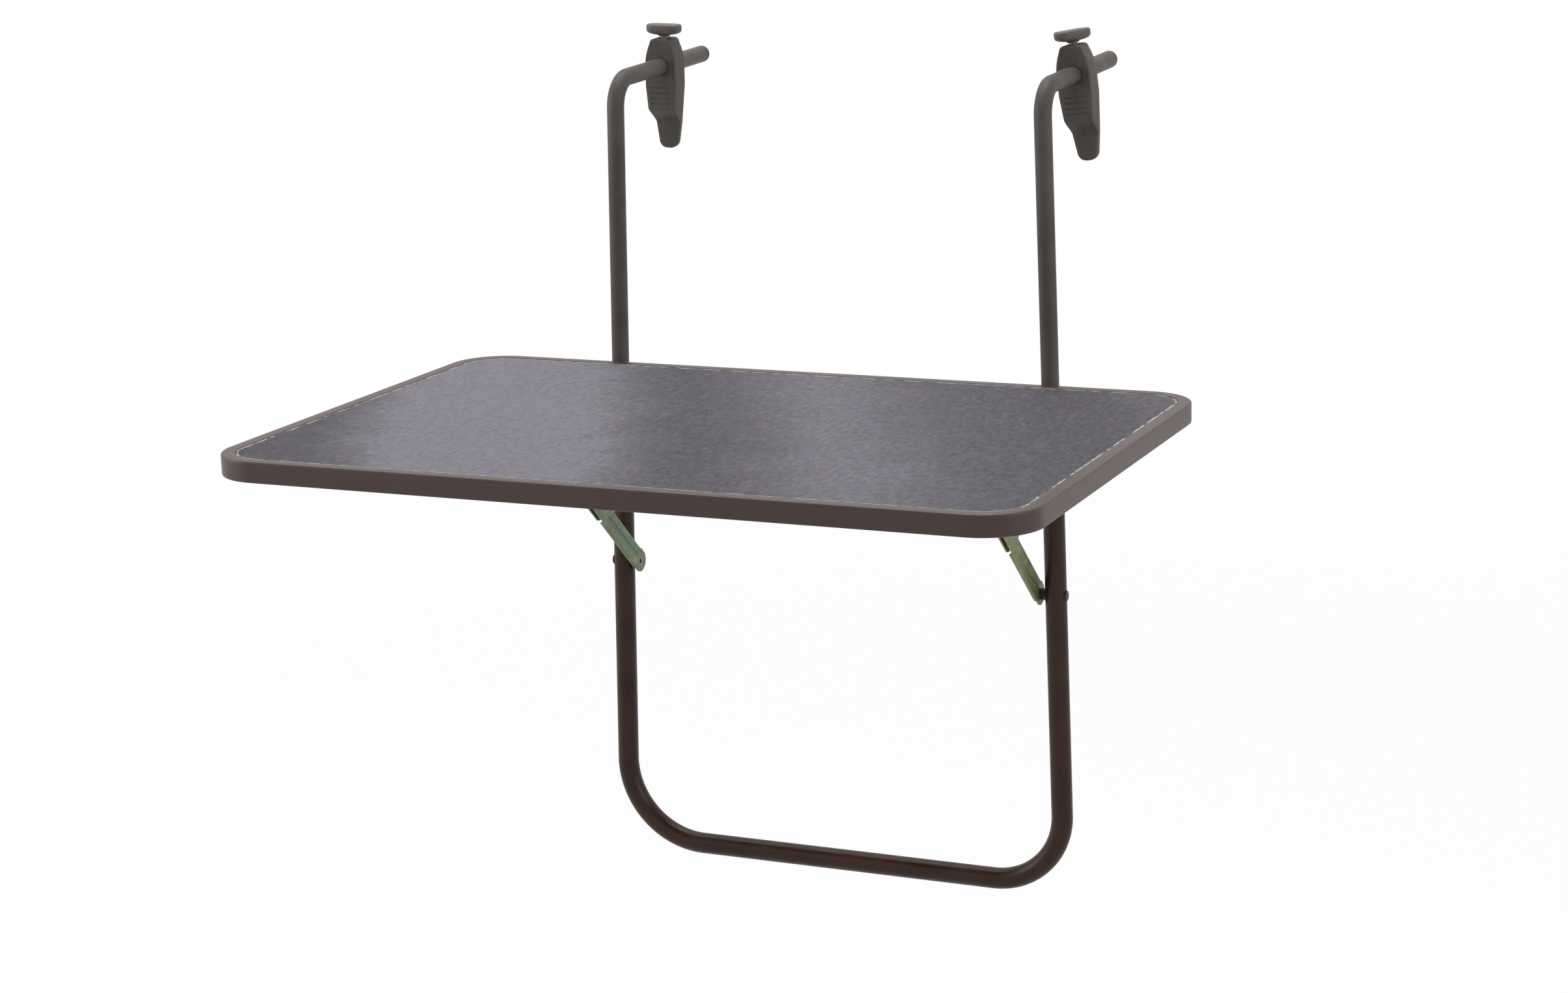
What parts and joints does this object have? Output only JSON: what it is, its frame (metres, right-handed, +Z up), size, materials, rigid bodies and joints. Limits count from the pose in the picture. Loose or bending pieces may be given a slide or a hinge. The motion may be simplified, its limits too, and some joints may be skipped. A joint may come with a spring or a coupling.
{
  "type": "railing table",
  "caption": "Folding bar table that hooks over a balcony railing, with screw clamps, a bent tube frame and folding braces under a rimmed top.",
  "frame": {"origin": "midway between the two hooks, in the plane of the legs, at the height of the handrail's top, where the hook rods rest", "axes": "+X along the railing, +Y over the handrail and away from the user, +Z up"},
  "size_m": [0.6, 0.5762, 0.659],
  "materials": {
    "frame_paint": "satin powder coat",
    "rod_paint": "matt powder coat",
    "rim_paint": "matt powder coat",
    "clamp_moulding": "matt glass-filled moulding",
    "knob_moulding": "matt moulding",
    "cap_moulding": "matt moulding",
    "insert_brass": "turned",
    "zinc_screw": "bright zinc plated",
    "rivet_steel": "yellow zinc plated",
    "passivated_steel": "yellow passivated zinc plate",
    "top_laminate": "matt mottled decor laminate",
    "fibreboard": "raw fibreboard",
    "backing_sheet": "matt backing laminate"
  },
  "bodies": {
    "frame": {"u_frame": "frame_paint", "hinge_boss_left": "frame_paint", "hinge_boss_right": "frame_paint", "hinge_pin_left": "rivet_steel", "hinge_pin_right": "rivet_steel", "leg_rivet_left": "frame_paint", "leg_rivet_right": "frame_paint", "lock_nut_left": "frame_paint", "lock_nut_right": "frame_paint", "lock_screw_left": "zinc_screw", "lock_screw_right": "zinc_screw"},
    "table": {"rim": "rim_paint", "board_core": "fibreboard", "top_laminate": "top_laminate", "backing_sheet": "backing_sheet", "hinge_bracket_screws": "zinc_screw", "brace_bracket_screws": "zinc_screw", "hinge_bracket_left": "passivated_steel", "hinge_bracket_right": "passivated_steel", "brace_bracket_left": "passivated_steel", "brace_bracket_right": "passivated_steel", "table_rivet_left": "rivet_steel", "table_rivet_right": "rivet_steel"},
    "hook_left": {"hook_rod_left": "rod_paint", "end_cap_left": "cap_moulding"},
    "clamp_left": {"clamp_block_left": "clamp_moulding", "clamp_insert_left": "insert_brass"},
    "knob_left": {"knob_left": "knob_moulding", "clamp_screw_left": "zinc_screw"},
    "brace_upper_left": {"brace_upper_left": "passivated_steel", "knuckle_rivet_left": "rivet_steel"},
    "brace_lower_left": {"brace_lower_left": "passivated_steel", "pivot_tube_left": "rivet_steel"},
    "hook_right": {"hook_rod_right": "rod_paint", "end_cap_right": "cap_moulding"},
    "clamp_right": {"clamp_block_right": "clamp_moulding", "clamp_insert_right": "insert_brass"},
    "knob_right": {"knob_right": "knob_moulding", "clamp_screw_right": "zinc_screw"},
    "brace_upper_right": {"brace_upper_right": "passivated_steel", "knuckle_rivet_right": "rivet_steel"},
    "brace_lower_right": {"brace_lower_right": "passivated_steel", "pivot_tube_right": "rivet_steel"}
  },
  "joints": [
    {"name": "table_fold", "type": "hinge", "parent": "frame", "child": "table", "pos_m": [0, 0, -0.2396], "axis": [1, 0, 0], "range_deg": [0, 90]},
    {"name": "hook_height_left", "type": "slide", "parent": "frame", "child": "hook_left", "axis": [0.0206, 0, 0.9998], "range_m": [-0.015, 0.06]},
    {"name": "clamp_slide_left", "type": "slide", "parent": "hook_left", "child": "clamp_left", "axis": [0, 0.9995, 0.0314], "range_m": [-0.042, 0.06]},
    {"name": "knob_turn_left", "type": "hinge", "parent": "clamp_left", "child": "knob_left", "pos_m": [-0.1735, 0.09016, 0.00953], "axis": [0.0262, -0.0314, 0.9992], "continuous": true},
    {"name": "brace_table_left", "type": "hinge", "parent": "table", "child": "brace_upper_left", "pos_m": [-0.1675, -0.152, -0.2396], "axis": [1, 0, 0], "range_deg": [0, 42]},
    {"name": "brace_knuckle_left", "type": "hinge", "parent": "brace_upper_left", "child": "brace_lower_left", "pos_m": [-0.1675, -0.07004, -0.31293], "axis": [1, 0, 0], "range_deg": [-180, 0]},
    {"name": "hook_height_right", "type": "slide", "parent": "frame", "child": "hook_right", "axis": [-0.0206, 0, 0.9998], "range_m": [-0.015, 0.06]},
    {"name": "clamp_slide_right", "type": "slide", "parent": "hook_right", "child": "clamp_right", "axis": [0, 0.9995, 0.0314], "range_m": [-0.042, 0.06]},
    {"name": "knob_turn_right", "type": "hinge", "parent": "clamp_right", "child": "knob_right", "pos_m": [0.1735, 0.08066, 0.00923], "axis": [-0.1045, -0.0312, 0.994], "continuous": true},
    {"name": "brace_table_right", "type": "hinge", "parent": "table", "child": "brace_upper_right", "pos_m": [0.1675, -0.152, -0.2396], "axis": [1, 0, 0], "range_deg": [0, 42]},
    {"name": "brace_knuckle_right", "type": "hinge", "parent": "brace_upper_right", "child": "brace_lower_right", "pos_m": [0.1675, -0.07004, -0.31293], "axis": [1, 0, 0], "range_deg": [-180, 0]}
  ],
  "couplings": [
    {"joint": "brace_table_left", "follows": "table_fold", "ratio": 0.46467},
    {"joint": "brace_knuckle_left", "follows": "table_fold", "ratio": -2},
    {"joint": "brace_table_right", "follows": "table_fold", "ratio": 0.46467},
    {"joint": "brace_knuckle_right", "follows": "table_fold", "ratio": -2}
  ]
}
